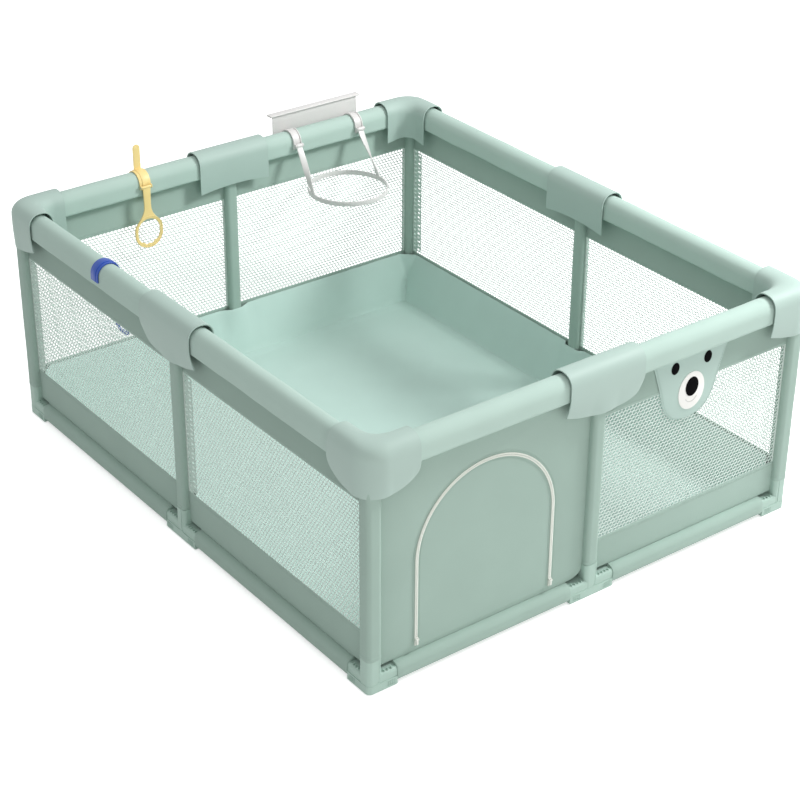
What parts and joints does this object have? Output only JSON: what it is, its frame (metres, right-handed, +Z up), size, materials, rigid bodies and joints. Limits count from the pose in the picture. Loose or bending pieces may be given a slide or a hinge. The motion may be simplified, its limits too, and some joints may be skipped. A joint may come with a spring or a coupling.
{
  "type": "playpen",
  "caption": "Rectangular play yard with padded top rails on plug-in tubes, clip-on moulded caps, net and fabric walls, a zipped arch door, a soft floor, two pull rings and a hoop",
  "frame": {"origin": "on the floor at the middle of the frame", "axes": "+Z up, -Y towards the doorway wall, +Y along the long side, X along the short side"},
  "size_m": [1.51, 1.8271, 0.786],
  "materials": {
    "galvanised_tube": "satin zinc-plated steel tube",
    "rail_foam": "closed-cell foam wrap",
    "rail_fabric": "quilted polyester sleeve",
    "wall_fabric": "fine plain-weave polyester",
    "net_fabric": "knitted polyester net",
    "floor_fabric": "coated polyester",
    "cap_plastic": "moulded, soft matt",
    "connector_plastic": "moulded, matt",
    "joint_plastic": "moulded, matt",
    "foot_rubber": "matt rubber",
    "zip_tape": "woven tape with a coil zip",
    "zip_metal": "enamelled die-cast",
    "bear_fabric": "felted polyester",
    "bear_white": "felt",
    "bear_black": "felt",
    "yellow_plastic": "moulded, satin",
    "blue_plastic": "moulded, satin",
    "hoop_plastic": "moulded, satin"
  },
  "bodies": {
    "pen": {"post_tubes": "galvanised_tube", "top_rail_tubes": "galvanised_tube", "bottom_rail_tubes": "galvanised_tube", "top_rail_foam": "rail_foam", "corner_post_sleeves": "rail_fabric", "mid_post_sleeves": "rail_fabric", "rail_sleeve_front": "rail_fabric", "rail_sleeve_back": "rail_fabric", "rail_sleeve_left": "rail_fabric", "rail_sleeve_right": "rail_fabric", "sill_sleeves_short": "rail_fabric", "sill_sleeves_long": "rail_fabric", "corner_cap_front_left": "cap_plastic", "corner_cap_front_right": "cap_plastic", "corner_cap_back_left": "cap_plastic", "corner_cap_back_right": "cap_plastic", "mid_cap_front": "cap_plastic", "mid_cap_back": "cap_plastic", "mid_cap_left": "cap_plastic", "mid_cap_right": "cap_plastic", "corner_joints": "joint_plastic", "mid_joints": "joint_plastic", "corner_connectors": "connector_plastic", "mid_connectors": "connector_plastic", "rubber_feet": "foot_rubber", "upper_band_front": "wall_fabric", "upper_band_back": "wall_fabric", "upper_band_left": "wall_fabric", "upper_band_right": "wall_fabric", "net_front": "net_fabric", "net_back": "net_fabric", "net_left": "net_fabric", "net_right": "net_fabric", "lower_band_front": "wall_fabric", "lower_band_back": "wall_fabric", "lower_band_left": "wall_fabric", "lower_band_right": "wall_fabric", "floor_sheet": "floor_fabric", "floor_skirt": "floor_fabric", "door_panel": "wall_fabric", "zip_tape_fixed": "zip_tape", "bear_apron": "bear_fabric", "bear_muzzle": "bear_white", "bear_features": "bear_black", "yellow_clip": "yellow_plastic", "blue_clip": "blue_plastic", "pull_ring_pins": "galvanised_tube", "hoop_hooks": "hoop_plastic", "hoop_backboard": "hoop_plastic", "hoop_pins": "hoop_plastic"},
    "door": {"door_flap": "wall_fabric", "zip_tape_moving": "zip_tape"},
    "left_zip_slider": {"zip_slider_left": "zip_metal"},
    "right_zip_slider": {"zip_slider_right": "zip_metal"},
    "left_zip_pull": {"zip_pull_left": "zip_metal"},
    "right_zip_pull": {"zip_pull_right": "zip_metal"},
    "yellow_pull_ring": {"yellow_ring": "yellow_plastic"},
    "blue_pull_ring": {"blue_ring": "blue_plastic"},
    "hoop": {"hoop_ring": "hoop_plastic"}
  },
  "joints": [
    {"name": "door_fold", "type": "hinge", "parent": "pen", "child": "door", "pos_m": [-0.355, -0.865, 0.076], "axis": [1, 0, 0], "range_deg": [0, 92]},
    {"name": "left_zip", "type": "slide", "parent": "door", "child": "left_zip_slider", "axis": [0, 0, 1], "range_m": [0, 0.22]},
    {"name": "right_zip", "type": "slide", "parent": "door", "child": "right_zip_slider", "axis": [0, 0, 1], "range_m": [0, 0.22]},
    {"name": "left_pull_swing", "type": "hinge", "parent": "left_zip_slider", "child": "left_zip_pull", "pos_m": [-0.575, -0.8744, 0.098], "axis": [-1, 0, 0], "range_deg": [0, 150]},
    {"name": "right_pull_swing", "type": "hinge", "parent": "right_zip_slider", "child": "right_zip_pull", "pos_m": [-0.135, -0.8744, 0.098], "axis": [-1, 0, 0], "range_deg": [0, 150]},
    {"name": "yellow_ring_swing", "type": "hinge", "parent": "pen", "child": "yellow_pull_ring", "pos_m": [-0.318, 0.8232, 0.668], "axis": [-1, 0, 0], "range_deg": [-6, 150]},
    {"name": "blue_ring_swing", "type": "hinge", "parent": "pen", "child": "blue_pull_ring", "pos_m": [-0.6732, 0.372, 0.668], "axis": [0, -1, 0], "range_deg": [-6, 150]},
    {"name": "hoop_lift", "type": "hinge", "parent": "pen", "child": "hoop", "pos_m": [0.358, 0.8192, 0.668], "axis": [-1, 0, 0], "range_deg": [0, 110]}
  ]
}
